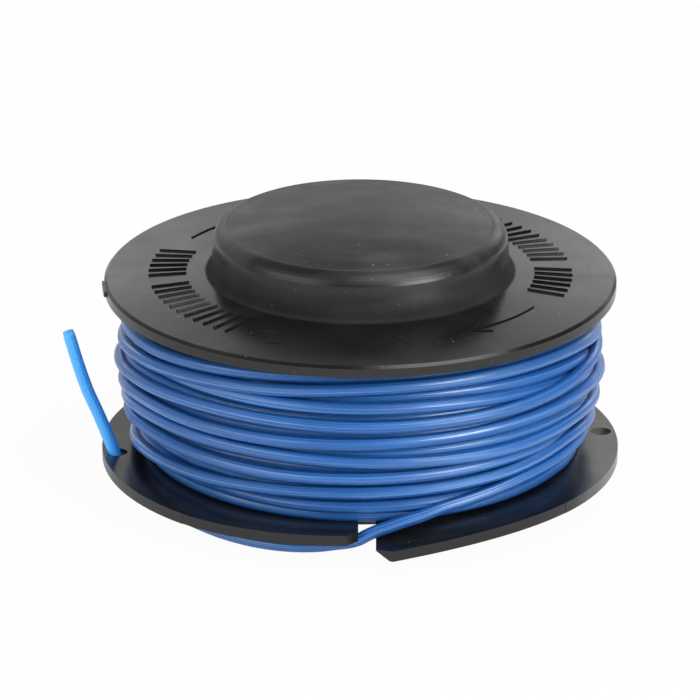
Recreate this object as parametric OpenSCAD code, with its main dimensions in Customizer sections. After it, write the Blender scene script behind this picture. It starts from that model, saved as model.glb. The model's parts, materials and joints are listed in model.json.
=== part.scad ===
// Line spool of a grass trimmer with bump feed: two black mouldings that snap together,
// and the blue nylon line that is wound between their flanges.
// Stands on the drive collar with the bump knob up. Origin: middle of the collar's end face.

/* [Upper flange] */
// Diameter of the upper flange
flange_d = 65; // [62:0.5:70]
// Thickness of the flange at its rim
flange_rim_t = 1.5; // [1.2:0.1:2.4]
// Rise of the flange's top from the rim to the knob
flange_rise = 0.7; // [0.3:0.1:1.5]
// Bevel round the top edge of the rim
flange_bevel = 0.35; // [0.2:0.05:0.6]

/* [Bump knob] */
// Diameter of the knob where it leaves the flange
knob_base_d = 38; // [34:0.5:40]
// Draft of the knob's side, as the radius lost over its height
knob_draft = 0.3; // [0.1:0.05:0.6]
// Height of the knob's shoulder over the flange's rim
knob_h = 6.8; // [5:0.2:9]
// Radius of the knob's rounded edge
knob_edge_r = 2; // [1:0.1:2.5]
// Height of the knob's crown over its shoulder
knob_crown = 1.3; // [0.8:0.1:2]
// Wall of the hollow knob
knob_wall = 1.8; // [1.4:0.1:2.2]
// Radius of the small fillet at the knob's foot
knob_foot_r = 0.5; // [0.3:0.1:0.8]

/* [Winding space] */
// Clear height between the two flanges
line_gap = 21.3; // [18:0.1:26]
// Diameter of the barrel that the line is wound on
barrel_d = 46; // [45:0.5:48]
// Wall of the barrel
barrel_wall = 1.8; // [1.4:0.1:2.2]

/* [Lower plate] */
// Diameter of the lower plate
plate_d = 66; // [64:0.5:72]
// Thickness of the plate at its rim and hub
plate_t = 1.4; // [1:0.1:1.8]
// Depth of the relief in the plate's underside
relief_h = 0.5; // [0.3:0.1:0.6]
// Width of the full-thickness rim round the relief
rim_w = 1.5; // [1:0.1:2]

/* [Line slots] */
// Width of each line slot
slot_w = 2.2; // [1.8:0.1:3]
// Sideways shift of each slot from the radius
slot_shift = 0.9; // [0:0.1:1.5]
// Depth of each slot, in from the plate's edge
slot_depth = 7.4; // [5:0.1:8]
// Drop of the lip that the line runs over
drop_h = 2.0; // [0.5:0.1:2.4]
// Angle over which the dropped lip leaves the plate's level
drop_sweep = 48; // [24:1:54]
// Width over which the dropped lip thins to its edge
drop_feather = 1.7; // [0.8:0.1:2.4]
// Width of the corner cut off the dropped lip
drop_corner_w = 2.6; // [1:0.1:3]
// Rise of the lip that the line runs under
rise_h = 0.6; // [0.2:0.1:0.8]
// Angle over which the raised lip leaves the plate's level
rise_sweep = 42; // [24:1:44]
// Width of the corner cut off the raised lip
rise_corner_w = 1.6; // [1:0.1:3]
// Depth of the corners cut off the lips
corner_depth = 1.6; // [0.8:0.1:2.4]

/* [Line eyelets] */
// Diameter of each eyelet that a line's end comes up through
eyelet_d = 2.6; // [2:0.1:3]
// Distance of an eyelet's centre from the plate's edge
eyelet_inset = 1.8; // [1.7:0.1:3]
// Angle of the eyelets past the side of the plate
eyelet_angle = 7; // [4:0.5:12]
// Radius of the full-thickness boss round an eyelet
eyelet_boss_r = 2.3; // [2:0.1:3]

/* [Drive collar] */
// Height of the collar under the plate
collar_h = 3.6; // [3:0.1:5]
// Outside diameter of the collar
collar_d = 31; // [28:0.5:33]
// Wall of the collar
collar_wall = 2.2; // [1.6:0.1:2.6]
// Height that the collar runs up inside the barrel
collar_inner_h = 4; // [3:0.2:6]
// Number of drive dogs inside the collar
dog_count = 8; // [6:1:10]
// Height of a drive dog's tooth over the collar's wall
dog_h = 1.9; // [1:0.1:2.2]
// Distance of the dogs from the collar's mouth
dog_recess = 1.2; // [0.8:0.1:2]
// Number of ribs between collar and barrel
hub_ribs = 8; // [4:1:12]
// Thickness of the ribs in both mouldings
rib_t = 1.2; // [0.8:0.1:1.6]

/* [Spindle socket] */
// Bore of the socket that slides on the head's spindle
socket_bore_d = 8.2; // [6:0.1:9]
// Wall of the spindle socket
socket_wall = 1.4; // [1.2:0.1:2]
// Length of the spindle socket under the knob's ceiling
socket_l = 13; // [9:0.5:15]
// Height of the ribs under the knob's ceiling
knob_rib_h = 3; // [1.5:0.5:5]
// Number of ribs under the knob's ceiling
knob_ribs = 6; // [4:1:8]

/* [Snap joint] */
// Length of the snap skirt inside the barrel
skirt_l = 5.5; // [4.5:0.1:7]
// Wall of the snap skirt
skirt_wall = 1.5; // [1.2:0.1:1.8]
// Height of the snap bead over the skirt
bead_h = 0.5; // [0.3:0.05:0.7]
// Height of the snap bead along the skirt
bead_l = 1.2; // [0.8:0.1:1.6]
// Number of slits that let the skirt spring in
skirt_slits = 6; // [4:1:8]
// Width of a slit
slit_w = 1.4; // [1:0.1:2]
// Clearance between skirt and barrel
snap_clear = 0.15; // [0.1:0.05:0.25]
// Number of keys that lock the two mouldings against turning
key_count = 4; // [3:1:6]
// Width of a key
key_w = 4; // [3:0.2:5]
// Height of a key
key_h = 1.6; // [1:0.1:2.4]

/* [Line] */
// Diameter of the nylon line
line_d = 1.6; // [1.2:0.1:2]
// Height of one turn in the outermost layer
turn_pitch = 2.3; // [1.8:0.1:2.6]
// Largest diameter of the wound line
winding_d = 62.8; // [58:0.2:63]
// Loss of winding radius from its widest turn down to the plate
winding_taper = 2.4; // [1:0.1:3]
// Depth that the lowest turns sit back, where the line leaves the winding
lead_room = 1.4; // [0.8:0.1:1.6]
// Clearance between the winding and the mouldings
winding_clear = 0.2; // [0.1:0.05:0.3]

/* [Hidden] */
$fn = 96;

moulding_black = "#2b2b2b";
line_blue = "#2f6fb8";
arc_steps = 8;      // straight steps in a rounded edge
cut_over = 1;       // how far a cutter runs past the face it opens
slit_root = 0.6;    // length of skirt left whole above a slit
weld = 0.2;         // how deep joined forms of one moulding run into each other

// Levels, from the collar's end face up
plate_bottom = collar_h;
plate_top = plate_bottom + plate_t;
flange_bottom = plate_top + line_gap;
rim_top = flange_bottom + flange_rim_t;
flange_top = rim_top + flange_rise;
shoulder_z = rim_top + knob_h;
knob_top = shoulder_z + knob_crown;

// Radii
flange_r = flange_d / 2;
plate_r = plate_d / 2;
barrel_r = barrel_d / 2;
barrel_inner_r = barrel_r - barrel_wall;
knob_base_r = knob_base_d / 2;
knob_top_r = knob_base_r - knob_draft;
collar_r = collar_d / 2;
collar_inner_r = collar_r - collar_wall;
dog_r = collar_inner_r - dog_h;
socket_r = socket_bore_d / 2 + socket_wall;
skirt_r = barrel_inner_r - snap_clear;

// The crown is an arc over the flat part of the knob's top
crown_half = knob_top_r - knob_edge_r;
crown_r = (crown_half * crown_half + knob_crown * knob_crown) / (2 * knob_crown);
ceiling_z = knob_top - knob_wall;

// Relief and slot
relief_in_r = barrel_r + rim_w;
relief_out_r = plate_r - rim_w;
web_t = plate_t - relief_h;
slot_root_r = plate_r - slot_depth;
slot_right = slot_shift + slot_w / 2;
slot_left = slot_shift - slot_w / 2;
drop_root = -90 + asin(slot_right / plate_r) + drop_sweep;
rise_root = -90 + asin(slot_left / plate_r) - rise_sweep;
lip_stations = 16;  // straight steps of a lip round the plate
thin_edge = 0.15;   // thickness left at the dropped lip's edge
drop_ease = 2.5;    // how far a lip keeps its bend to the slot: 1 is an even slope
rise_ease = 1.2;
eyelet_r = plate_r - eyelet_inset;

// The winding is widest two thirds of the way up, and the line leaves it low down
widest_z = plate_top + 0.64 * line_gap;
lead_top_z = plate_top + 2.5 * line_d;

// Points along an arc from angle a to angle b round c
function arc(c, r, a, b, n = arc_steps) =
    [for (i = [0:n]) c + r * [cos(a + (b - a) * i / n), sin(a + (b - a) * i / n)]];

function reversed(list) = [for (i = [len(list) - 1:-1:0]) list[i]];

// ---------------------------------------------------------------- knob and upper flange

// Rounded edge and crown of the knob as one line, from side to middle, moved in by a wall
function knob_cap_line(inset) = concat(
    arc([crown_half, shoulder_z - knob_edge_r], max(knob_edge_r - inset, 0.2), 0, 90),
    [for (i = [1:arc_steps])
        let (x = crown_half * (1 - i / arc_steps))
        [x, shoulder_z + knob_crown - crown_r + sqrt(crown_r * crown_r - x * x) - inset]]);

module knob_flange_section() {
    foot_z = flange_top + knob_foot_r;
    cavity_base_r = knob_base_r - knob_wall;
    polygon(concat(
        [[cavity_base_r, flange_bottom], [flange_r, flange_bottom]],
        [[flange_r, rim_top - flange_bevel], [flange_r - flange_bevel, rim_top]],
        [[knob_base_r + knob_foot_r, flange_top]],
        reversed(arc([knob_base_r + knob_foot_r, foot_z], knob_foot_r, 180, 270)),
        knob_cap_line(0),
        reversed(knob_cap_line(knob_wall))));
}

// Sleeve that drops into the barrel, with the bead that snaps into the barrel's groove
module snap_skirt_section() {
    tip = flange_bottom - skirt_l;
    bead_top = tip + 2 * bead_l;
    polygon([
        [skirt_r - skirt_wall, flange_bottom + weld], [skirt_r - skirt_wall, tip],
        [skirt_r, tip], [skirt_r, bead_top - bead_l], [skirt_r + bead_h, bead_top - bead_l / 2],
        [skirt_r, bead_top], [skirt_r, flange_bottom + weld]]);
}

module skirt_slit_cuts() {
    for (i = [0:skirt_slits - 1])
        rotate([0, 0, (i + 0.5) * 360 / skirt_slits])
            translate([skirt_r - skirt_wall - cut_over, -slit_w / 2, flange_bottom - skirt_l - cut_over])
                cube([skirt_wall + bead_h + 2 * cut_over, slit_w, skirt_l + cut_over - slit_root]);
}

// One key, as wide as asked, between the barrel's inner and outer radius
module ring_key(width, height, top) {
    intersection() {
        difference() {
            translate([0, 0, top - height]) cylinder(r = barrel_r - snap_clear, h = height);
            translate([0, 0, top - height - cut_over])
                cylinder(r = barrel_inner_r, h = height + 2 * cut_over);
        }
        translate([0, -width / 2, top - height]) cube([barrel_r + cut_over, width, height]);
    }
}

module knob_flange() {
    color(moulding_black) {
        rotate_extrude() knob_flange_section();
        difference() {
            rotate_extrude() snap_skirt_section();
            skirt_slit_cuts();
        }
        for (i = [0:key_count - 1])
            rotate([0, 0, i * 360 / key_count]) ring_key(key_w, key_h + weld, flange_bottom + weld);
        difference() {
            union() {
                translate([0, 0, ceiling_z - socket_l]) cylinder(r = socket_r, h = socket_l + weld);
                for (i = [0:knob_ribs - 1])
                    rotate([0, 0, i * 360 / knob_ribs])
                        translate([socket_r - weld, -rib_t / 2, ceiling_z - knob_rib_h])
                            cube([knob_top_r - knob_wall + 1.5 * weld - socket_r, rib_t, knob_rib_h + weld]);
            }
            translate([0, 0, ceiling_z - socket_l - cut_over])
                cylinder(d = socket_bore_d, h = socket_l + cut_over - weld);
        }
    }
}

// ---------------------------------------------------------------- hub and lower plate

module hub_section() {
    groove_mid = flange_bottom - skirt_l + 1.5 * bead_l;
    groove_half = bead_l / 2 + snap_clear;
    difference() {
        union() {
            // Plate, with the relief in its underside
            polygon([
                [collar_inner_r, plate_bottom], [relief_in_r, plate_bottom],
                [relief_in_r + relief_h, plate_bottom + relief_h],
                [relief_out_r - relief_h, plate_bottom + relief_h],
                [relief_out_r, plate_bottom], [plate_r, plate_bottom],
                [plate_r, plate_top], [collar_inner_r, plate_top]]);
            // Barrel
            translate([barrel_inner_r, plate_bottom]) square([barrel_wall, flange_bottom - plate_bottom]);
            // Collar
            translate([collar_inner_r, 0]) square([collar_wall, plate_top + collar_inner_h]);
        }
        // Groove that the snap bead sits in
        polygon([
            [barrel_inner_r - cut_over, groove_mid - groove_half],
            [barrel_inner_r, groove_mid - groove_half],
            [barrel_inner_r + bead_h, groove_mid],
            [barrel_inner_r, groove_mid + groove_half],
            [barrel_inner_r - cut_over, groove_mid + groove_half]]);
    }
}

// Drive dogs: saw teeth that stand in from the collar's wall
module drive_dogs() {
    step = 360 / dog_count;
    foot = collar_inner_r + weld;
    translate([0, 0, dog_recess])
        linear_extrude(plate_top + collar_inner_h - 2 * dog_recess)
            for (i = [0:dog_count - 1])
                rotate(i * step)
                    polygon([
                        foot * [cos(-step / 6), sin(-step / 6)],
                        collar_inner_r * [cos(-step / 6), sin(-step / 6)],
                        dog_r * [cos(step / 12), sin(step / 12)],
                        dog_r * [cos(step / 6), sin(step / 6)],
                        collar_inner_r * [cos(step / 6), sin(step / 6)],
                        foot * [cos(step / 6), sin(step / 6)]]);
}

module hub_rib_set() {
    for (i = [0:hub_ribs - 1])
        rotate([0, 0, (i + 0.5) * 360 / hub_ribs])
            translate([collar_r - weld, -rib_t / 2, plate_top - weld])
                cube([barrel_inner_r - collar_r + 2 * weld, rib_t, collar_inner_h + weld]);
}

// The two lips of a slot are set out of the plate's level, so that the line passes from
// above one to below the other. A lip is the plate's section carried from its root, where
// it is level, to the slot. It runs a little way into the plate all round its root, and
// is a hair thinner than the plate, so that no two faces lie in one another.
hair = 0.02;

// Radii across a lip, each with the height of its underside there
lip_marks = [
    [slot_root_r - weld, plate_bottom + relief_h + hair],
    [slot_root_r + 1.6, plate_bottom + relief_h + hair],
    [slot_root_r + 3.2, plate_bottom + relief_h + hair],
    [relief_out_r - relief_h + hair, plate_bottom + relief_h + hair],
    [relief_out_r + hair, plate_bottom + hair],
    [plate_r - hair, plate_bottom + hair]
];

// Angle of the line x = edge at radius r
function edge_angle(edge, r) = -90 + asin(edge / r);

// Share of a lip's lift at radius r, from 0 at the slot's inner end to 1 at the rim
function lip_share(r) = sin(90 * max(0, r - slot_root_r) / (plate_r - slot_root_r));

function lip_point(edge, root, lift, ease, feather, k, mark, under) =
    let (r = mark[0], u = k / lip_stations,
         turn = edge_angle(edge, r) - root, a = root + turn * u,
         away = r * abs(turn) * (1 - u) * PI / 180,
         full = plate_top - hair - mark[1],
         thinned = feather > 0 ? max(0, 1 - away / feather) : 0,
         thick = full - (full - thin_edge) * thinned)
    [r * cos(a), r * sin(a),
     plate_top - hair + lift * pow(u, ease) * lip_share(r) - (under ? thick : 0)];

// Two triangles of a four-sided face, facing the other way when side is -1
function halves(q, side) = side > 0
    ? [[q[0], q[1], q[2]], [q[0], q[2], q[3]]]
    : [[q[2], q[1], q[0]], [q[3], q[2], q[0]]];

module lip(edge, root_angle, lift, ease, feather) {
    side = edge_angle(edge, plate_r) > root_angle ? 1 : -1;
    root = root_angle - side * 0.5;
    m = len(lip_marks);
    n = lip_stations;
    points = [for (k = [0:n]) for (under = [false, true]) for (mark = lip_marks)
        lip_point(edge, root, lift, ease, feather, k, mark, under)];
    rows = [for (k = [0:n - 1]) let (t = 2 * m * k, v = t + 2 * m) each [
        for (j = [0:m - 2]) each [
            [t + j, v + j, v + j + 1, t + j + 1],
            [t + m + j, t + m + j + 1, v + m + j + 1, v + m + j]],
        [t + m - 1, v + m - 1, v + 2 * m - 1, t + 2 * m - 1],
        [t, t + m, v + m, v]]];
    root_face = [for (j = [0:m - 2]) [j, j + 1, m + j + 1, m + j]];
    e = 2 * m * n;
    slot_face = [for (j = [0:m - 2]) [e + j, e + m + j, e + m + j + 1, e + j + 1]];
    faces = [for (q = concat(rows, root_face, slot_face)) each halves(q, side)];
    polyhedron(points, faces, convexity = 4);
}

// Sector of the plate, outside the slot's inner end, that a slot and its lips take up
module lip_sector() {
    reach = 2 * plate_r;
    difference() {
        translate([0, 0, plate_bottom - cut_over])
            linear_extrude(plate_t + 2 * cut_over)
                polygon([[0, 0], for (i = [0:3])
                    let (a = rise_root + (drop_root - rise_root) * i / 3)
                    reach * [cos(a), sin(a)]]);
        translate([0, 0, plate_bottom - 2 * cut_over])
            cylinder(r = slot_root_r, h = plate_t + 4 * cut_over);
    }
}

// Corner cut off a lip at the slot's mouth
module lip_corner(edge, side, width) {
    slope = corner_depth / width;
    translate([0, 0, plate_bottom - drop_h - cut_over])
        linear_extrude(plate_t + drop_h + rise_h + 2 * cut_over)
            polygon([
                [edge - side * cut_over, -plate_r + corner_depth + slope * cut_over],
                [edge - side * cut_over, -plate_r - cut_over],
                [edge + side * (width + cut_over / slope), -plate_r - cut_over]]);
}

module slot_lips() {
    difference() {
        lip(slot_right, drop_root, -drop_h, drop_ease, drop_feather);
        lip_corner(slot_right, 1, drop_corner_w);
    }
    difference() {
        lip(slot_left, rise_root, rise_h, rise_ease, 0);
        lip_corner(slot_left, -1, rise_corner_w);
    }
}

module eyelet_place() {
    for (half = [0, 180])
        rotate([0, 0, half + eyelet_angle])
            translate([eyelet_r, 0, plate_bottom]) children();
}

module hub_plate() {
    color(moulding_black) {
        difference() {
            union() {
                difference() {
                    rotate_extrude() hub_section();
                    for (half = [0, 180]) rotate([0, 0, half]) lip_sector();
                }
                intersection() {
                    eyelet_place() cylinder(r = eyelet_boss_r, h = plate_t);
                    cylinder(r = plate_r, h = flange_bottom);
                }
                drive_dogs();
                hub_rib_set();
            }
            eyelet_place() translate([0, 0, -cut_over]) cylinder(d = eyelet_d, h = plate_t + 2 * cut_over);
            for (i = [0:key_count - 1])
                rotate([0, 0, i * 360 / key_count])
                    ring_key_seat();
            // Hole through the barrel that the line's inner end is hooked in
            translate([0, 0, plate_top + line_d])
                rotate([0, 90, 0])
                    cylinder(d = line_d + 2 * snap_clear, h = barrel_r + cut_over);
        }
        for (half = [0, 180]) rotate([0, 0, half]) slot_lips();
    }
}

// Notch in the barrel's end for one key
module ring_key_seat() {
    translate([barrel_inner_r - cut_over, -key_w / 2 - snap_clear, flange_bottom - key_h - snap_clear])
        cube([barrel_wall + 2 * cut_over, key_w + 2 * snap_clear, key_h + snap_clear + cut_over]);
}

// ---------------------------------------------------------------- line

// Outer radius of the winding at height z: widest high up, where the last turns were laid
function winding_r(z) =
    winding_d / 2 - winding_taper * abs(z - widest_z) / (widest_z - plate_top);

// Half-round turns down the outside of the winding; the lowest sit back for the lead
module winding_section() {
    bottom = plate_top + winding_clear;
    top = flange_bottom - winding_clear;
    turns = floor((top - bottom) / turn_pitch);
    pitch = (top - bottom) / turns;
    polygon(concat(
        [[barrel_r + winding_clear, bottom]],
        [for (k = [0:turns - 1])
            let (z = bottom + (k + 0.5) * pitch,
                 r = winding_r(z) - (z < lead_top_z ? lead_room : 0) - line_d / 2)
            for (a = [-90:30:90]) [r + line_d / 2 * cos(a), z + pitch / 2 * sin(a)]],
        [[barrel_r + winding_clear, top]]));
}

module line_winding() {
    color(line_blue) rotate_extrude() winding_section();
}

// Middle of the line from the winding, over and under the lips, up the eyelet to its cut end
route = [
    [23.0, -18.0, 8.9], [20.0, -21.3, 8.7], [16.8, -23.9, 8.0], [13.5, -25.9, 7.7],
    [10.0, -27.4, 7.0], [7.6, -28.2, 6.3], [5.6, -28.7, 5.8], [3.7, -29.0, 5.2],
    [2.0, -29.1, 4.6], [0.9, -29.2, 4.1], [-0.2, -29.2, 3.5], [-1.4, -29.3, 3.2],
    [-2.8, -29.5, 3.1], [-5.0, -29.7, 2.9], [-8.5, -29.5, 2.8], [-12.5, -28.3, 2.8],
    [-16.6, -25.7, 2.8], [-20.2, -22.2, 2.8], [-23.4, -18.2, 2.8], [-26.2, -13.9, 2.8],
    [-28.7, -9.9, 2.5], [-30.0, -7.4, 2.2], [-30.6, -6.1, 2.2], [-30.9, -5.1, 2.6],
    [-31.1, -4.3, 3.5], [-31.3, -3.8, 4.8], [-32.0, -3.5, 6.7], [-33.4, -3.2, 10.2],
    [-34.7, -3.0, 13.2], [-35.8, -2.6, 16.4], [-37.1, -2.3, 20.9]
];
route_steps = 2;    // rings to each stretch between two of the route's points
line_sides = 8;

// Smooth curve through the points of a path, with steps points to a stretch
function smooth(path, steps) = concat(
    [for (i = [0:len(path) - 2]) for (s = [0:steps - 1])
        let (a = path[max(i - 1, 0)], b = path[i], c = path[i + 1],
             d = path[min(i + 2, len(path) - 1)], t = s / steps)
        0.5 * (2 * b + t * (c - a) + t * t * (2 * a - 5 * b + 4 * c - d)
               + t * t * t * (3 * b - 3 * c + d - a))],
    [path[len(path) - 1]]);

function unit(v) = v / norm(v);

// Round tube along a path, as one polyhedron
module tube(path, diameter, sides) {
    last = len(path) - 1;
    points = [for (i = [0:last])
        let (along = unit(path[min(i + 1, last)] - path[max(i - 1, 0)]),
             side = unit(cross(along, abs(along[2]) > 0.8 ? [0, 1, 0] : [0, 0, 1])),
             up = cross(side, along))
        for (k = [0:sides - 1])
            path[i] + diameter / 2 * (cos(360 * k / sides) * side + sin(360 * k / sides) * up)];
    walls = [for (i = [0:last - 1]) for (k = [0:sides - 1])
        let (a = i * sides + k, b = i * sides + (k + 1) % sides)
        [a, b, b + sides, a + sides]];
    polyhedron(points, concat(
        [[for (k = [sides - 1:-1:0]) k]], walls, [[for (k = [0:sides - 1]) last * sides + k]]));
}

module line_lead() {
    color(line_blue) tube(smooth(route, route_steps), line_d, line_sides);
}

knob_flange();
hub_plate();
line_winding();
line_lead();
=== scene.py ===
"""Bump-feed line spool of a grass trimmer: its wound line, mouldings, finishes and studio.

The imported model's frame is used throughout: the drive collar stands on z = 0, the bump knob
is up, the front line slot is at -Y and the eyelet that holds the line's end is at -X. Sizes
are written in millimetres and become metres when a mesh is made.
"""

import json
import logging
from dataclasses import dataclass, field
from enum import Enum
from typing import Mapping, Optional, Sequence, Union

import bmesh
import bpy
import numpy as np
from mathutils import Matrix, Vector

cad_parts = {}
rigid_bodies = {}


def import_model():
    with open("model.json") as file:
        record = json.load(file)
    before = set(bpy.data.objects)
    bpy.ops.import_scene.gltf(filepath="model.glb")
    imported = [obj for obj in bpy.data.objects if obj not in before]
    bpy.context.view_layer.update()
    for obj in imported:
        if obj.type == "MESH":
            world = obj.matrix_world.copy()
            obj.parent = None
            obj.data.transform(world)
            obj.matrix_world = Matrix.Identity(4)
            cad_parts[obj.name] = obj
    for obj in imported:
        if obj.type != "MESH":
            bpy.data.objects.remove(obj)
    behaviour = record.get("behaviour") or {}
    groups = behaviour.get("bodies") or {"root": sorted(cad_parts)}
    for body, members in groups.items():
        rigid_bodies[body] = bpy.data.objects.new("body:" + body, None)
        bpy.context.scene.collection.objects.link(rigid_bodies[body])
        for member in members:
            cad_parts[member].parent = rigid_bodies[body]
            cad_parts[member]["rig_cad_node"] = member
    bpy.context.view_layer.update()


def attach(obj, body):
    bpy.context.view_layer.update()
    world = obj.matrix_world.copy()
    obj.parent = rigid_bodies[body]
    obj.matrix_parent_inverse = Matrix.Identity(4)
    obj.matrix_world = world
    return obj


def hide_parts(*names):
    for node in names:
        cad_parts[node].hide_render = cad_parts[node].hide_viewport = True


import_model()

MM = 0.001
Array = np.ndarray
log = logging.getLogger("trimmer_spool")


# ------------------------------------------------------------------ shader expressions

class Field:
    """A number that changes over a surface: one output socket, used like a number."""

    def __init__(self, shader: "Shader", socket: bpy.types.NodeSocket) -> None:
        """Wrap a socket of a shader's tree."""
        self.shader = shader
        self.socket = socket

    def math(self, operation: str, *others: "Number",
             first: Optional["Number"] = None) -> "Field":
        """Add one Math node.

        Args:
            operation: Name of the Math node's operation.
            others: What follows this field in the node's sockets.
            first: What stands before this field, where the order is reversed.

        Returns:
            The node's result.
        """
        terms = ([] if first is None else [first]) + [self, *others]
        made = self.shader.node("ShaderNodeMath", {"operation": operation}, dict(enumerate(terms)))
        return Field(self.shader, made.outputs[0])

    def __add__(self, other: "Number") -> "Field":
        """Sum."""
        return self.math("ADD", other)

    def __sub__(self, other: "Number") -> "Field":
        """Difference."""
        return self.math("SUBTRACT", other)

    def __rsub__(self, other: "Number") -> "Field":
        """Difference, the other way round."""
        return self.math("SUBTRACT", first=other)

    def __mul__(self, other: "Number") -> "Field":
        """Product."""
        return self.math("MULTIPLY", other)

    __radd__ = __add__
    __rmul__ = __mul__

    def step(self, low: float, high: float) -> "Field":
        """Smooth step from 0 at low to 1 at high."""
        made = self.shader.node("ShaderNodeMapRange", {"interpolation_type": "SMOOTHSTEP"},
                                {"Value": self, "From Min": low, "From Max": high})
        return Field(self.shader, made.outputs[0])


Number = Union[float, Field]
Colour = tuple[float, float, float]
Span = tuple[float, float]
Paint = Union[tuple[float, float, float, float], bpy.types.NodeSocket]
Turn = tuple[Sequence[float], Sequence[float]]


def tint(red: float, green: float, blue: float) -> tuple[float, float, float, float]:
    """Turn display values from 0 to 255 into a linear colour.

    Each value v, as a share of 255, becomes v / 12.92 up to 0.04045, and else
    ((v + 0.055) / 1.055) to the power 2.4.
    """
    v = np.array([red, green, blue]) / 255
    linear = np.where(v <= 0.04045, v / 12.92, ((v + 0.055) / 1.055) ** 2.4)
    return (*linear.tolist(), 1.0)


class Shader:
    """The node tree of a material or a world. Every node comes from one method."""

    def __init__(self, owner: Union[bpy.types.Material, bpy.types.World]) -> None:
        """Start an empty tree with its output node."""
        self.owner = owner
        owner.use_nodes = True
        self.tree = owner.node_tree
        self.tree.nodes.clear()
        kind = "World" if isinstance(owner, bpy.types.World) else "Material"
        self.output = self.node("ShaderNodeOutput" + kind)

    @classmethod
    def named(cls, name: str) -> "Shader":
        """The tree of a new material."""
        return cls(bpy.data.materials.new(name))

    def node(self, kind: str, settings: Optional[Mapping[str, object]] = None,
             sockets: Optional[Mapping[Union[int, str], object]] = None) -> bpy.types.Node:
        """Add a node.

        Args:
            kind: The node's type.
            settings: Its properties, set first.
            sockets: Values, fields or output sockets for its inputs, by name or number.

        Returns:
            The node.
        """
        made = self.tree.nodes.new(kind)
        for key, value in (settings or {}).items():
            setattr(made, key, value)
        for key, value in (sockets or {}).items():
            source = value.socket if isinstance(value, Field) else value
            if isinstance(source, bpy.types.NodeSocket):
                self.tree.links.new(source, made.inputs[key])
            else:
                made.inputs[key].default_value = source
        return made

    def noise(self, place: bpy.types.NodeSocket, scale: float, detail: float = 2.0,
              stretch: Sequence[float] = (1.0, 1.0, 1.0)) -> Field:
        """Noise from 0 to 1 at a place, with its own stretch along the three axes."""
        mapped = self.node("ShaderNodeMapping", {}, {"Vector": place, "Scale": stretch})
        made = self.node("ShaderNodeTexNoise", {},
                         {"Vector": mapped.outputs[0], "Scale": scale, "Detail": detail})
        return Field(self, made.outputs["Fac"])

    def blend(self, share: Number, low: Paint, high: Paint) -> bpy.types.NodeSocket:
        """Mix two colours by a share."""
        made = self.node("ShaderNodeMix", {"data_type": "RGBA"}, {0: share, 6: low, 7: high})
        return made.outputs[2]

    def bump(self, height: Field, distance: float, strength: float = 1.0) -> bpy.types.NodeSocket:
        """Normal bent by a height field whose full range is distance metres."""
        made = self.node("ShaderNodeBump", {}, {"Height": height, "Distance": distance,
                                                "Strength": strength})
        return made.outputs[0]

    def field(self, socket: bpy.types.NodeSocket) -> Field:
        """Wrap an output socket of this tree."""
        return Field(self, socket)

    def close(self, kind: str, sockets: Mapping[Union[int, str], object]) \
            -> Union[bpy.types.Material, bpy.types.World]:
        """Add the last node, link it to the output and return the tree's owner."""
        made = self.node(kind, {}, sockets)
        self.tree.links.new(made.outputs[0], self.output.inputs["Surface"])
        return self.owner


# ------------------------------------------------------------------ finishes

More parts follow.
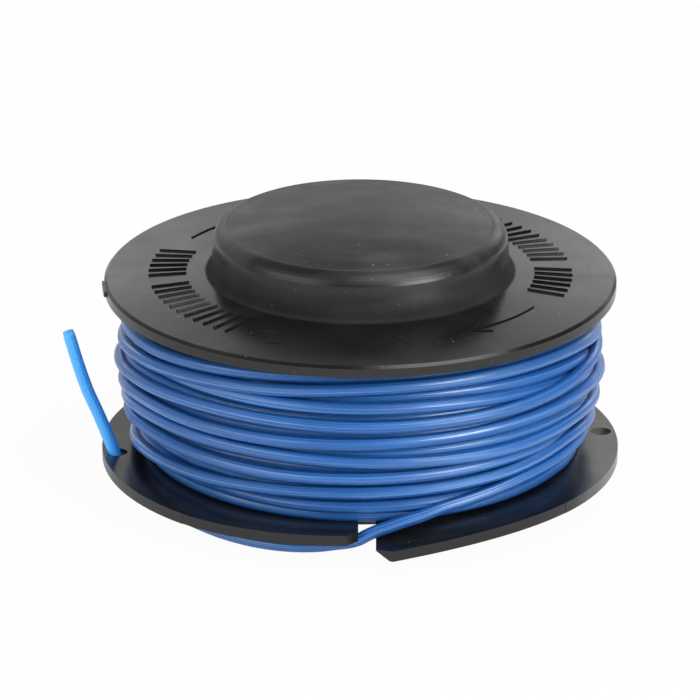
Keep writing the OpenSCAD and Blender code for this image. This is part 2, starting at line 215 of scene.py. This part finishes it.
@dataclass(frozen=True)
class MouldedBlack:
    """Black moulded plastic: satin flanges, a matt knob, flow marks, smudges with a painted sheen,
    painted reflections on the rims and the lower plate's right end, and dust.

    A span is where a smooth step starts and where it ends; those of places are in
    millimetres, and those of noises are values from 0 to 1.
    """

    name: str = "moulding_black_satin"
    body: Colour = (21, 21, 20)
    # Colour of lighter patches, most on the knob's cap: smudges with a painted grey sheen.
    smudge_and_sheen: Colour = (62, 62, 60)
    dust: Colour = (150, 150, 146)
    # Colour of the painted warm reflection on the flange rims.
    rim_reflection_tint: Colour = (21, 20, 18)
    # Colour of the painted lighter sheen on the right end of the lower plate.
    plate_sheen_tint: Colour = (104, 101, 96)
    satin: float = 0.04
    cap_matt: float = 0.2
    foot_matt: float = 0.7
    cap_z: Span = (32.2, 34.2)
    foot_inside: Span = (18.7, 19.0)
    foot_outside: Span = (19.3, 19.9)
    # Radii of the painted rim reflection.
    rim_r: Span = (32.2, 32.45)
    # Sideways and height spans of the painted sheen on the lower plate's right end.
    plate_sheen_x: Span = (26.0, 31.0)
    plate_sheen_z: Span = (6.0, 7.0)
    smudges: Span = (0.42, 0.72)
    specks: Span = (0.85, 0.87)
    grain: float = 0.000012

    def over(self, place: Field, span: Span) -> Field:
        """Smooth step of a place in metres over a span in millimetres."""
        return place.step(span[0] * MM, span[1] * MM)

    def material(self) -> bpy.types.Material:
        """Build the finish.

        The radius is the length of (x, y, 0). The cap share is a smooth step at the height
        of the knob's shoulder, and the foot share is a ring round the knob. Roughness is
        the satin one plus the two noises, more on the cap and most in the foot. Base colour:
        body, lighter in wide smudges with a painted sheen, most on the cap, a painted warm
        reflection on the rims, a painted sheen on the lower plate's right end, and dust specks.
        """
        shader = Shader.named(self.name)
        place = shader.node("ShaderNodeTexCoord").outputs["Object"]
        flat = shader.node("ShaderNodeVectorMath", {"operation": "MULTIPLY"},
                           {0: place, 1: (1, 1, 0)})
        reach = shader.node("ShaderNodeVectorMath", {"operation": "LENGTH"}, {0: flat.outputs[0]})
        radius = shader.field(reach.outputs["Value"])
        parts = shader.node("ShaderNodeSeparateXYZ", {}, {0: place}).outputs
        aside, height = shader.field(parts["X"]), shader.field(parts["Z"])
        cap = self.over(height, self.cap_z)
        foot = (1 - self.over(radius, self.foot_outside)) * self.over(radius, self.foot_inside)
        wide = shader.noise(place, 85, 7, (1.0, 2.2, 1.0))
        flow = shader.noise(place, 220, 6, (1.0, 1.0, 3.0))
        fine = shader.noise(place, 5200, 2)
        speck = shader.noise(place, 2400, 0).step(*self.specks)
        # Lighter wide patches, most on the cap: smudges with a painted grey sheen.
        smudge_and_sheen_share = wide.step(*self.smudges) * (cap * 0.7 + 0.2)
        colour = shader.blend(smudge_and_sheen_share, tint(*self.body), tint(*self.smudge_and_sheen))
        # Painted warm reflection on the rims.
        rim_reflection = self.over(radius, self.rim_r) * (wide * 0.4 + 0.7)
        colour = shader.blend(rim_reflection, colour, tint(*self.rim_reflection_tint))
        # Painted lighter sheen on the right end of the lower plate.
        plate_sheen = self.over(aside, self.plate_sheen_x) * (1 - self.over(height, self.plate_sheen_z)) \
            * (flow * 0.8 + 0.3)
        colour = shader.blend(plate_sheen, colour, tint(*self.plate_sheen_tint))
        return shader.close("ShaderNodeBsdfPrincipled", {
            "Base Color": shader.blend(speck * (cap * 0.3 + 0.3), colour, tint(*self.dust)),
            "Roughness": flow * 0.2 + wide * 0.16 + cap * self.cap_matt
                         + foot * self.foot_matt + self.satin,
            "Normal": shader.bump(fine + flow * 2.0, self.grain, 0.7),
            "IOR": 1.5,
        })


@dataclass(frozen=True)
class DrawnNylon:
    """Blue nylon line: streaked along its length with painted highlight streaks, and painted
    lighter and glowing where it hangs free.
    """

    name: str = "line_blue_nylon"
    wound: Colour = (18, 92, 168)
    deep: Colour = (8, 74, 146)
    # Paler colour of the streak ridges: painted highlight streaks.
    pale: Colour = (70, 146, 222)
    # Lighter colour and glow of the hanging end: painted light, for light shining through the
    # nylon.
    free: Colour = (74, 178, 252)
    painted_free_glow: Colour = (12, 92, 174)
    roughness: float = 0.34
    ridges: float = 0.0002

    def material(self) -> bpy.types.Material:
        """Build the finish.

        The line's own map gives patterns that are long along the line and narrow round
        it, so that they read as the die's marks. Two noises share the colour out between
        deep and wound, the ridges of one are painted paler as highlight streaks, and where
        the line hangs free it is painted lighter, with a painted glow for light through it.
        """
        shader = Shader.named(self.name)
        own = shader.node("ShaderNodeUVMap", {"uv_map": "line"}).outputs[0]
        streak = shader.noise(own, 1.0, 3, (16.0, 22.0, 1.0))
        cloud = shader.noise(own, 1.0, 2, (70.0, 3.0, 1.0))
        hanging = shader.node("ShaderNodeAttribute", {"attribute_name": "free"})
        loose = shader.field(hanging.outputs["Fac"])
        share = cloud * 0.6 + streak * 0.6
        wound = shader.blend(share.step(0.35, 0.85), tint(*self.deep), tint(*self.wound))
        # Painted highlight streaks: the ridges of the streaks painted paler.
        wound = shader.blend(streak.step(0.5, 0.66) * 0.4, wound, tint(*self.pale))
        return shader.close("ShaderNodeBsdfPrincipled", {
            # Painted light: the hanging end painted lighter.
            "Base Color": shader.blend(loose, wound, tint(*self.free)),
            "Roughness": streak * 0.24 + self.roughness,
            "Normal": shader.bump(streak, self.ridges, 0.9),
            "IOR": 1.85,
            "Specular Tint": (0.5, 0.76, 1.0, 1.0),
            "Coat Weight": streak.step(0.35, 0.7),
            "Coat Roughness": 0.26,
            "Coat IOR": 1.8,
            # Painted glow on the hanging end, for light shining through it.
            "Emission Color": shader.blend(loose, (0, 0, 0, 1), tint(*self.painted_free_glow)),
            "Emission Strength": 0.5,
            "Subsurface Weight": 0.15,
            "Subsurface Radius": (0.0004, 0.0008, 0.0016),
            "Subsurface Scale": 1.0,
        })


@dataclass(frozen=True)
class PaleFloor:
    """Matt white paper that a camera, mirror or glass sees as white, but for its shadow."""

    name: str = "pale_floor"
    paper: Colour = (236, 236, 236)
    shade: float = 0.04
    mirrored: float = 0.38

    def material(self) -> bpy.types.Material:
        """Build the finish: a white glow with a share of shaded paper over it."""
        shader = Shader.named(self.name)
        rays = shader.node("ShaderNodeLightPath").outputs
        seen = shader.field(rays["Is Camera Ray"]) + shader.field(rays["Is Transmission Ray"])
        seen = (seen + shader.field(rays["Is Glossy Ray"]) * self.mirrored).math("MINIMUM", 1.0)
        paper = shader.node("ShaderNodeBsdfDiffuse", {}, {"Color": tint(*self.paper)})
        glow = shader.node("ShaderNodeEmission", {}, {"Color": (1, 1, 1, 1), "Strength": 1.0})
        return shader.close("ShaderNodeMixShader", {0: seen * (1 - self.shade),
                                                    1: paper.outputs[0], 2: glow.outputs[0]})


# ------------------------------------------------------------------ meshes

def flowing(x: Array, marks: Array, values: Array) -> Array:
    """Smooth curve through marked values.

    Cubic Hermite: between two marks the value is h00*a + h10*h*s + h01*b + h11*h*t, with the
    slopes s and t taken from the neighbouring marks.

    Args:
        x: Where the curve is wanted.
        marks: Rising places of the known values.
        values: The known values, one row to a mark.

    Returns:
        One row to each x.
    """
    slopes = np.gradient(values, marks, axis=0)
    i = np.clip(np.searchsorted(marks, x, side="right") - 1, 0, len(marks) - 2)
    h = (marks[i + 1] - marks[i])[:, None]
    t = (x - marks[i])[:, None] / h
    return ((1 + 2 * t) * (1 - t) ** 2 * values[i] + t * (1 - t) ** 2 * h * slopes[i]
            + t * t * (3 - 2 * t) * values[i + 1] + t * t * (t - 1) * h * slopes[i + 1])


def unit(v: Array) -> Array:
    """Rows of v at length 1."""
    return v / np.linalg.norm(v, axis=-1, keepdims=True)


def grid_faces(rows: int, columns: int, first: int = 0) -> Array:
    """Four-sided faces of a grid whose columns close on themselves.

    Face (i, j) joins the points (i, j), (i, j + 1), (i + 1, j + 1) and (i + 1, j), with
    j + 1 taken round the ring.
    """
    i, j = np.meshgrid(np.arange(rows - 1), np.arange(columns), indexing="ij")
    k = (j + 1) % columns
    return first + np.stack([i * columns + j, i * columns + k,
                             (i + 1) * columns + k, (i + 1) * columns + j], -1).reshape(-1, 4)


def solid(name: str, points: Array, faces: Sequence[Sequence[int]],
          material: bpy.types.Material, smooth: bool = True) -> bpy.types.Object:
    """Make a mesh object from points in millimetres and set its finish."""
    mesh = bpy.data.meshes.new(name)
    mesh.from_pydata((np.asarray(points) * MM).tolist(), [], [list(map(int, f)) for f in faces])
    mesh.validate()
    mesh.materials.append(material)
    mesh.polygons.foreach_set("use_smooth", np.full(len(mesh.polygons), smooth))
    made = bpy.data.objects.new(name, mesh)
    bpy.context.collection.objects.link(made)
    return made


# ------------------------------------------------------------------ the line

ON_FACE = (0.0,) * 9


@dataclass
class WoundLine:
    """The nylon line: one tube from its anchor in the barrel to its cut end."""

    diameter: float = 1.6
    plate_top: float = 5.0
    flange_bottom: float = 26.3
    widest: float = 31.4
    widest_z: float = 18.6
    taper: float = 2.4
    barrel: float = 23.0
    barrel_room: float = 0.05
    layer_step: float = 1.1
    inner_layers: int = 4
    layer_turns: float = 9.0
    # Share of a layer's way in which it climbs to the next, and degrees between its points
    climb: float = 0.07
    inner_degrees: float = 12.0
    # Room from a flange's face to the nearest strand's middle, as a share of the diameter
    inner_margin: float = 0.56
    outer_margin: float = 0.55
    # Fall of the view for each millimetre that it goes back
    look_down: float = 0.385
    sides: int = 14
    # Lean of the tube's grid, cuts between two points of the route, and rounding of the ends
    lean: float = 0.6
    route_cuts: int = 5
    end_round: float = 1.5
    # Points of the route at which the line starts to hang free, and until it does
    free_from: int = 22
    free_over: int = 3
    anchor: Sequence[tuple[float, float, float]] = (
        (21.7, 0.0, 6.6), (22.6, -0.1, 6.6), (23.4, -0.9, 6.6))
    # Height on the winding's outer face and depth behind it, every 20 degrees round the
    # front from -10 to -170. Round the back a turn flows on to the start of the next.
    turns: Sequence[Turn] = field(default_factory=lambda: (
        # second layer from outside, going up
        ((9.3, 8.3, 7.3, 6.9, 6.7, 6.8, 6.9, 6.9, 6.9),
         (1.8, 1.8, 1.6, 1.4, 1.5, 1.8, 2.0, 1.8, 1.2)),
        ((9.4, 9.3, 8.9, 8.3, 8.0, 8.1, 8.9, 10.3, 11.4),
         (2.2, 2.2, 1.7, .8, .7, 1.0, 1.8, 1.9, 1.8)),
        ((12.0, 12.2, 12.5, 12.9, 13.3, 13.6, 13.6, 13.6, 13.5),
         (2.2, 2.2, 2.0, 1.7, 1.9, 2.2, 2.2, 2.1, 1.9)),
        ((15.2, 15.75, 15.75, 15.75, 15.75, 15.9, 16.0, 16.0, 16.2),
         (1.4, 1.0, .9, 1.0, 1.4, 1.8, 2.1, 2.0, 1.7)),
        ((18.7, 18.75, 18.3, 18.2, 18.3, 18.3, 18.3, 18.2, 18.4),
         (1.1, 1.1, 1.4, 1.6, 1.9, 2.1, 2.1, 1.9, 1.6)),
        ((19.9, 20.2, 20.3, 20.4, 20.4, 20.4, 20.4, 20.3, 20.2),
         (1.1, 1.5, 1.8, 1.8, 2.0, 2.1, 2.0, 1.2, .9)),
        ((20.9, 20.6, 21.0, 21.5, 21.6, 21.7, 21.9, 22.2, 22.4),
         (1.5, 1.4, .7, .1, 0, .1, .6, 1.3, .9)),
        ((21.8, 22.0, 22.5, 22.9, 22.9, 23.1, 23.5, 24.0, 24.5),
         (1.3, .9, .8, 1.1, 1.6, 2.0, 2.0, 1.8, 1.8)),
        ((24.4, 24.8, 25.2, 25.2, 25.2, 25.2, 25.3, 25.3, 25.3),
         (.8, .9, 1.5, 1.8, 1.8, 1.8, 1.6, 1.2, .6)),
        # outermost layer, going down
        ((25.5, 25.5, 25.5, 25.5, 25.4, 25.1, 24.4, 23.8, 23.9),
         (1.6, 1.6, 1.6, 1.6, 1.3, .6, .1, 0, 0)),
        ((22.7, 23.65, 24.1, 24.2, 24.0, 23.25, 22.65, 21.9, 21.5), ON_FACE),
        ((21.2, 19.95, 19.4, 19.3, 19.25, 19.45, 19.5, 19.1, 18.8), ON_FACE),
        ((17.6, 17.6, 17.4, 17.2, 16.95, 16.8, 16.75, 16.8, 16.0), ON_FACE),
        ((14.2, 14.2, 13.85, 14.1, 14.45, 14.8, 14.9, 14.85, 14.0), ON_FACE),
        ((13.6, 13.3, 12.6, 12.25, 12.05, 11.95, 12.2, 12.4, 12.1),
         (1.6, 1.4, .3, 0, 0, 0, 0, 0, 0)),
        ((11.2, 11.7, 10.6, 10.2, 10.0, 9.7, 9.15, 8.75, 8.2), ON_FACE),
    ))
    # Angle past the last turn, radius and height where the line runs out of the winding
    run_out: Sequence[tuple[float, float, float]] = ((10.0, 28.9, 9.3), (24.0, 29.1, 9.15))
    # Middle of the free end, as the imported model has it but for 0.1 mm in its first bends
    route: Sequence[tuple[float, float, float]] = (
        (23.0, -18.0, 8.9), (20.0, -21.3, 8.6), (16.8, -23.9, 8.1), (13.5, -25.9, 7.6),
        (10.0, -27.4, 7.0), (7.6, -28.2, 6.3), (5.6, -28.7, 5.8), (3.7, -29.0, 5.2),
        (2.0, -29.1, 4.6), (0.9, -29.2, 4.1), (-0.2, -29.2, 3.5), (-1.4, -29.3, 3.2),
        (-2.8, -29.5, 3.1), (-5.0, -29.7, 2.9), (-8.5, -29.5, 2.8), (-12.5, -28.3, 2.8),
        (-16.6, -25.7, 2.8), (-20.2, -22.2, 2.8), (-23.4, -18.2, 2.8), (-26.2, -13.9, 2.8),
        (-28.7, -9.9, 2.5), (-30.0, -7.4, 2.2), (-30.6, -6.1, 2.2), (-30.9, -5.1, 2.6),
        (-31.1, -4.3, 3.5), (-31.3, -3.8, 4.8), (-32.0, -3.5, 6.7), (-33.4, -3.2, 10.2),
        (-34.7, -3.0, 13.2), (-35.8, -2.6, 16.4), (-37.1, -2.3, 20.9))

    def outer(self, z: Array) -> Array:
        """Outer radius of the winding: the widest, less the taper by distance from its level."""
        away = np.abs(z - self.widest_z) / (self.widest_z - self.plate_top)
        return self.widest - self.taper * away

    def levels(self, margin: float) -> tuple[float, float]:
        """Lowest and highest level of a strand's middle, a share of the diameter off the faces."""
        return (self.plate_top + self.diameter * margin,
                self.flange_bottom - self.diameter * margin)

    def inner_points(self) -> Array:
        """Points of the inner layers, from the barrel outwards.

        Layer n is a helix of radius barrel + room + d/2 + n * step. Its height runs evenly
        between the flanges, up in one layer and down in the next, and its radius grows to
        the next layer's in the last share of its way.
        """
        count = int(self.inner_layers * self.layer_turns * 360 / self.inner_degrees)
        turned = (np.arange(count) + 0.5) * self.inner_degrees
        across = turned / (360 * self.layer_turns)
        layer = np.floor(across)
        share = across - layer
        share = np.where(layer % 2 == 0, share, 1 - share)
        low, high = self.levels(self.inner_margin)
        step = layer + np.clip((across - layer - (1 - self.climb)) / self.climb, 0, 1)
        radius = self.barrel + self.diameter / 2 + self.barrel_room + self.layer_step * step
        angle = -np.radians(turned)
        height = low + (high - low) * share
        return np.stack([radius * np.cos(angle), radius * np.sin(angle), height], -1)

    def outer_points(self) -> Array:
        """Points of the two outer layers, every 4 degrees, from the table of turns.

        A turn's middle lies (d/2 + depth) inside the outer face that the heights are given
        on. Looked at from the front and above, it is seen on that face at the angle s with
        cos s = r cos a / R, and lies lower by the slope of the view times the distance
        R |sin s| - r |sin a| between the two. Between marks, radius and height flow evenly,
        and the height is kept between the flanges.
        """
        marks = np.arange(10.0, 171.0, 20.0)
        angles = np.arange(10.0, 171.0, 10.0)
        cos_a, sin_a = np.cos(np.radians(angles)), np.sin(np.radians(angles))
        turned, radii, levels = [], [], []
        for number, rows in enumerate(self.turns):
            table = np.array(rows).T
            height, depth = flowing(angles, marks, table).T
            face = self.outer(height)
            radius = face - self.diameter / 2 - depth
            seen = np.degrees(np.arccos(radius * cos_a / face))
            height, depth = flowing(seen, marks, table).T
            radius = face - self.diameter / 2 - np.maximum(depth, 0)
            drop = face * np.sin(np.radians(seen)) - radius * sin_a
            turned.append(angles + 360 * number)
            radii.append(radius)
            levels.append(height - self.look_down * drop)
        last = 360 * len(self.turns)
        beyond, radii_beyond, levels_beyond = np.array(self.run_out).T
        turned = np.concatenate([*turned, last + beyond])
        radii = np.concatenate([*radii, radii_beyond])
        levels = np.concatenate([*levels, levels_beyond])
        fine = np.arange(10.0, last + 31.0, 4.0)
        radius, height = flowing(fine, turned, np.stack([radii, levels], -1)).T
        height = np.clip(height, *self.levels(self.outer_margin))
        angle = -np.radians(fine)
        return np.stack([radius * np.cos(angle), radius * np.sin(angle), height], -1)

    def centreline(self) -> tuple[Array, Array]:
        """The line's middle from anchor to cut end, and how free it hangs there, 0 to 1."""
        wound = np.vstack([self.anchor, self.inner_points(), self.outer_points()])
        points = np.vstack([wound, self.route])
        chord = np.concatenate([[0], np.cumsum(np.linalg.norm(np.diff(points, axis=0), axis=1))])
        fine = np.where(np.arange(len(points) - 1) < len(wound) - 2, 1, self.route_cuts)
        marks = np.interp(np.arange(fine.sum() + 1), np.concatenate([[0], np.cumsum(fine)]),
                          np.arange(len(points)))
        along = np.interp(marks, np.arange(len(points)), chord)
        free = np.clip((marks - len(wound) - self.free_from) / self.free_over, 0, 1)
        return flowing(along, chord, points), free

    def build(self, finish: bpy.types.Material) -> bpy.types.Object:
        """Sweep a circle of the line's radius along its middle.

        A point of the tube is c + r (cos a * s + sin a * u): c the middle, s the unit
        vector across the path and across a slanted outward vector, u across both. The radius
        r grows from 0.9 of its full size at either end, over a short way. The map runs along
        the line in metres and once round it.
        """
        middle, free = self.centreline()
        along = unit(np.gradient(middle, axis=0))
        outward = unit(middle * (1, 1, 0)) + (0, 0, self.lean)
        side = unit(np.cross(along, outward))
        up = np.cross(side, along)
        length = np.concatenate([[0], np.cumsum(np.linalg.norm(np.diff(middle, axis=0), axis=1))])
        to_end = np.minimum(length, length[-1] - length)
        radius = self.diameter / 2 * np.clip(0.9 + to_end / self.end_round, 0, 1)
        a = 2 * np.pi * np.arange(self.sides) / self.sides
        ring = np.cos(a)[None, :, None] * side[:, None] + np.sin(a)[None, :, None] * up[:, None]
        points = (middle[:, None] + radius[:, None, None] * ring).reshape(-1, 3)
        last = (len(middle) - 1) * self.sides
        walls = grid_faces(len(middle), self.sides)[:, ::-1]
        caps = [list(range(self.sides)), list(range(last + self.sides - 1, last - 1, -1))]
        line = solid("wound_line", points, [*walls.tolist(), *caps], finish)
        mesh = line.data
        loose = mesh.attributes.new("free", "FLOAT", "POINT")
        loose.data.foreach_set("value", np.repeat(free, self.sides).astype(np.float32))
        corner = np.empty(len(mesh.loops), dtype=np.int32)
        mesh.loops.foreach_get("vertex_index", corner)
        number, place = np.divmod(corner, self.sides)
        wall = place[:4 * len(walls)].reshape(-1, 4)
        at_seam = (wall == self.sides - 1).any(axis=1, keepdims=True)
        wall[at_seam & (wall == 0)] = self.sides
        own = np.stack([length[number] * MM, place / self.sides], -1)
        layer = mesh.uv_layers.new(name="line")
        layer.data.foreach_set("uv", own.ravel().astype(np.float32))
        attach(line, "root")
        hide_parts("line_winding", "line_lead")
        tuple(middle[0] * MM)
        (middle * MM).tolist()
        log.info("wound_line: %.2f m of line, %d rings", length[-1] * MM, len(middle))
        return line


# ------------------------------------------------------------------ mouldings

@dataclass
class Mouldings:
    """The two black mouldings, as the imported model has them."""

    nodes: Sequence[str] = ("knob_flange", "hub_plate")

    def dress(self, finish: bpy.types.Material) -> None:
        """Give each packed moulding its finish."""
        for name in self.nodes:
            for part in [o for o in bpy.context.scene.objects if o.get("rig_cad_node") == name]:
                for slot in part.material_slots:
                    slot.material = finish
                log.info("%s: packed moulding with a new finish", part.name)


UP = np.array([0.0, 0.0, 1.0])
Stroke = tuple[Array, Array, tuple[float, float]]


@dataclass
class RaisedMarks:
    """Plain raised bars, direction arrows and ticks on the upper flange, and its gate stub.

    Both halves of the flange carry the same bars and arrows, half a turn apart. Sizes of
    strokes are their width at the top and their height.
    """

    flange_r: float = 32.5
    bevel: float = 0.35
    rim_top: float = 27.8
    foot_r: float = 19.5
    foot_z: float = 28.5
    bar_in: float = 22.1
    bar_out: float = 26.9
    bar_pitch: float = 4.0
    bar_groups: Sequence[tuple[float, int]] = ((-17.5, 6), (11.5, 11))
    bar_size: tuple[float, float] = (0.28, 0.24)
    arrow_r: float = 25.0
    arrow_ends: tuple[float, float] = (-30.0, -57.0)
    arrow_size: tuple[float, float] = (0.24, 0.16)
    barb: tuple[float, float] = (1.5, 5.5)
    tick_size: tuple[float, float] = (0.16, 0.1)
    # Radii and angles of each tick's two ends
    tick_ends: Sequence[tuple[Span, Span]] = (
        ((24.4, 24.2), (-120.5, -115.5)), ((24.6, 26.0), (-108.5, -107.0)),
        ((27.6, 27.0), (-115.5, -111.0)), ((26.4, 23.6), (-99.8, -99.0)),
        ((26.3, 23.4), (-97.0, -96.0)), ((23.5, 26.4), (-80.0, -76.5)),
        ((26.2, 23.8), (-75.6, -74.4)))
    stub_span: Span = (-177.6, -170.8)
    stub_drop: float = 0.75
    stub_wave: float = 0.12
    stub_size: tuple[float, float] = (0.7, 0.3)
    sink: float = 0.08
    draft: float = 0.02

    def level(self, radius: Array) -> Array:
        """Height of the flange's top: a straight slope from the rim up to the knob's foot."""
        slope = (self.foot_z - self.rim_top) / (self.flange_r - self.bevel - self.foot_r)
        return self.foot_z - slope * (radius - self.foot_r)

    def ridge(self, path: Array, outward: Array, size: tuple[float, float]) -> Array:
        """A raised stroke with sloping sides and ends.

        Across the path at each station lie four points: foot, top, top, foot, at plus and
        minus half the width, with the draft added at the foot. The first and last station
        have no height.

        Args:
            path: Points along the middle of the stroke, on the surface.
            outward: Unit vectors out of the surface, one to a point or one for all.
            size: Width at the top, and height.

        Returns:
            Points, four to a station.
        """
        normal = np.broadcast_to(outward, path.shape)
        along = unit(np.gradient(path, axis=0))
        path = np.vstack([path[:1] - along[:1] * self.draft, path,
                          path[-1:] + along[-1:] * self.draft])
        along, normal = (np.vstack([v[:1], v, v[-1:]]) for v in (along, normal))
        across = unit(np.cross(along, normal))
        width, height = size
        top = np.full(len(path), height)
        top[[0, -1]] = 0.0
        foot = np.full(len(path), -self.sink)
        half = np.array([-width / 2 - self.draft, -width / 2, width / 2, width / 2 + self.draft])
        rise = np.stack([foot, top, top, foot], -1)
        return path[:, None] + half[None, :, None] * across[:, None] \
            + rise[..., None] * normal[:, None]

    def on_flange(self, radius: Array, degrees: Array) -> Array:
        """Points on the flange's top at radii and angles."""
        radius, angle = np.broadcast_arrays(np.asarray(radius, float), np.radians(degrees))
        return np.stack([radius * np.cos(angle), radius * np.sin(angle), self.level(radius)], -1)

    def strokes(self) -> list[Stroke]:
        """Path, outward vector and size of every stroke on one half of the flange."""
        made = []
        for start, count in self.bar_groups:
            for number in range(count):
                bar = self.on_flange([self.bar_in, self.bar_out], start + number * self.bar_pitch)
                made.append((bar, UP, self.bar_size))
        tail, tip = self.arrow_ends
        made.append((self.on_flange(self.arrow_r, np.linspace(tail, tip, 14)), UP, self.arrow_size))
        wide, back = self.barb
        for side in (-wide, wide):
            barb = self.on_flange([self.arrow_r + side, self.arrow_r], [tip + back, tip])
            made.append((barb, UP, self.arrow_size))
        return made

    def ticks(self) -> list[Stroke]:
        """Low plain ticks on the front of the flange: a broken triangle, two bars, a notch."""
        return [(self.on_flange(radii, angles), UP, self.tick_size)
                for radii, angles in self.tick_ends]

    def build(self, finish: bpy.types.Material) -> None:
        """Make the marks and the gate stub, and let them ride with the spool."""
        half = self.strokes()
        turned = [(path * (-1, -1, 1), up, size) for path, up, size in half]
        self.merged("flange_marks", half + turned + self.ticks(), finish)
        angles = np.radians(np.linspace(*self.stub_span, 5))
        out = np.stack([np.cos(angles), np.sin(angles), 0 * angles], -1)
        level = self.rim_top - self.stub_drop + self.stub_wave * np.sin(3 * angles)
        stub = out * self.flange_r + level[:, None] * UP
        self.merged("gate_stub", [(stub, out, self.stub_size)], finish)

    def merged(self, name: str, strokes: Sequence[Stroke], finish: bpy.types.Material) -> None:
        """One object of many strokes."""
        points, faces, first = [], [], 0
        for path, outward, size in strokes:
            ring = self.ridge(path, outward, size)
            count = len(ring)
            walls = grid_faces(count, 4, first)
            last = first + 4 * (count - 1)
            faces += [*walls.tolist(), [first + 3, first + 2, first + 1, first],
                      [last, last + 1, last + 2, last + 3]]
            points.append(ring.reshape(-1, 3))
            first += 4 * count
        made = solid(name, np.vstack(points), faces, finish, smooth=False)
        outside_up(made)
        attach(made, "root")
        log.info("%s: %d strokes", name, len(strokes))


def outside_up(piece: bpy.types.Object) -> None:
    """Turn the faces of a piece of closed shells so that all point outwards."""
    work = bmesh.new()
    work.from_mesh(piece.data)
    bmesh.ops.recalc_face_normals(work, faces=work.faces)
    work.to_mesh(piece.data)
    work.free()


# ------------------------------------------------------------------ studio

class Softbox(Enum):
    """A soft lamp: place, aim and size in metres, and power in watts."""

    KEY = ((0.52, -0.48, 0.26), (0.0, 0.0, 0.015), (0.38, 0.36), 4.3)
    FILL = ((-0.56, -0.42, 0.34), (0.0, 0.0, 0.015), (0.7, 0.5), 1.85)
    TOP = ((0.32, -0.2, 0.7), (0.0, 0.0, 0.02), (0.5, 0.36), 2.2)


@dataclass
class Studio:
    """Camera, floor, world and lamps."""

    place: Vector = field(default_factory=lambda: Vector((0.0, -833.04, 336.51)) * MM)
    right: Vector = field(default_factory=lambda: Vector((0.9999964, 0.00217111, 0.00157774)))
    above: Vector = field(default_factory=lambda: Vector((-0.00224973, 0.3575565, 0.9338888)))
    lens: float = 360.0
    sensor: float = 36.0
    glow: float = 0.42
    halo: float = 0.8
    front: float = 0.1
    behind: float = 0.76
    wings: float = 2.5
    wing_slant: float = 3.0
    upper: float = 0.5
    left: float = 0.35
    # Where the world's steps start and end, as parts of a unit vector
    behind_y: Span = (0.4, 0.92)
    risen_z: Span = (0.12, 0.26)
    high_z: Span = (0.34, 0.46)
    wing_inside: Span = (0.02, 0.14)
    wing_outside: Span = (0.4, 0.65)
    left_x: Span = (-0.9, 0.0)

    def camera(self) -> bpy.types.Object:
        """A long lens a little above the spool, looking at its front."""
        data = bpy.data.cameras.new("camera")
        data.lens, data.sensor_width, data.sensor_fit = self.lens, self.sensor, "HORIZONTAL"
        data.clip_start, data.clip_end = 0.05, 20.0
        made = bpy.data.objects.new("camera", data)
        bpy.context.collection.objects.link(made)
        back = self.right.cross(self.above)
        turn = Matrix((self.right, self.above, back)).transposed().to_4x4()
        made.matrix_world = Matrix.Translation(self.place) @ turn
        bpy.context.scene.camera = made
        return made

    def floor(self) -> None:
        """A wide pale floor under the collar."""
        side = 3000.0
        points = np.array([[-side, -side, 0], [side, -side, 0], [side, side, 0], [-side, side, 0]])
        made = solid("studio_floor", points, [[0, 1, 2, 3]], PaleFloor().material(), smooth=False)

    def world(self) -> None:
        """White where it is seen, a plain soft light elsewhere, dimmer mirrored from the front.

        For a ray along (x, y, z), what a gloss mirrors is depth times (behind + wings), less
        up high, plus the left and front shares. Depth is a smooth step of y. The wings stand
        on either side of x = 0, between two levels, and are brighter to the right. The light
        on matt surfaces is even, with more from the left.
        """
        shader = Shader(bpy.data.worlds.new("studio_world"))
        rays = shader.node("ShaderNodeLightPath").outputs
        through = shader.field(rays["Is Transmission Ray"])
        seen = shader.field(rays["Is Camera Ray"]).math("MAXIMUM", through)
        mirrored = shader.field(rays["Is Glossy Ray"])
        way = shader.node("ShaderNodeTexCoord").outputs["Generated"]
        parts = shader.node("ShaderNodeSeparateXYZ", {}, {0: way}).outputs
        aside, level = shader.field(parts["X"]), shader.field(parts["Z"])
        depth = shader.field(parts["Y"]).step(*self.behind_y)
        risen, high = level.step(*self.risen_z), level.step(*self.high_z)
        apart = aside.math("ABSOLUTE")
        left = 1 - aside.step(*self.left_x)
        wings = apart.step(*self.wing_inside) * (1 - apart.step(*self.wing_outside)) \
            * (risen - high) * (aside * self.wing_slant + self.wings)
        backdrop = depth * (self.behind * (risen * 0.6 + 0.4) + wings - high * self.upper) \
            + left * self.left + self.front
        plain = left * self.halo + self.glow
        strength = seen + (1 - seen) * (mirrored * backdrop + (1 - mirrored) * plain)
        bpy.context.scene.world = shader.close("ShaderNodeBackground", {"Strength": strength})

    def lamps(self) -> None:
        """The soft lamps."""
        for box in Softbox:
            place, aim, (width, height), power = box.value
            data = bpy.data.lights.new("softbox_" + box.name.lower(), "AREA")
            data.shape, data.size, data.size_y, data.energy = "RECTANGLE", width, height, power
            made = bpy.data.objects.new(data.name, data)
            bpy.context.collection.objects.link(made)
            turn = (Vector(aim) - Vector(place)).to_track_quat("-Z", "Y").to_matrix().to_4x4()
            made.matrix_world = Matrix.Translation(Vector(place)) @ turn

    def build(self) -> None:
        """Set up the whole studio, and plain colours."""
        self.floor()
        self.world()
        self.lamps()
        bpy.context.scene.view_settings.view_transform = "Standard"


def main() -> None:
    """Build the camera and the line first, then the mouldings and the studio."""
    logging.basicConfig(level=logging.INFO, format="%(name)s: %(message)s")
    studio = Studio()
    studio.camera()
    WoundLine().build(DrawnNylon().material())
    black = MouldedBlack().material()
    Mouldings().dress(black)
    RaisedMarks().build(black)
    studio.build()


if __name__ == "__main__":
    main()
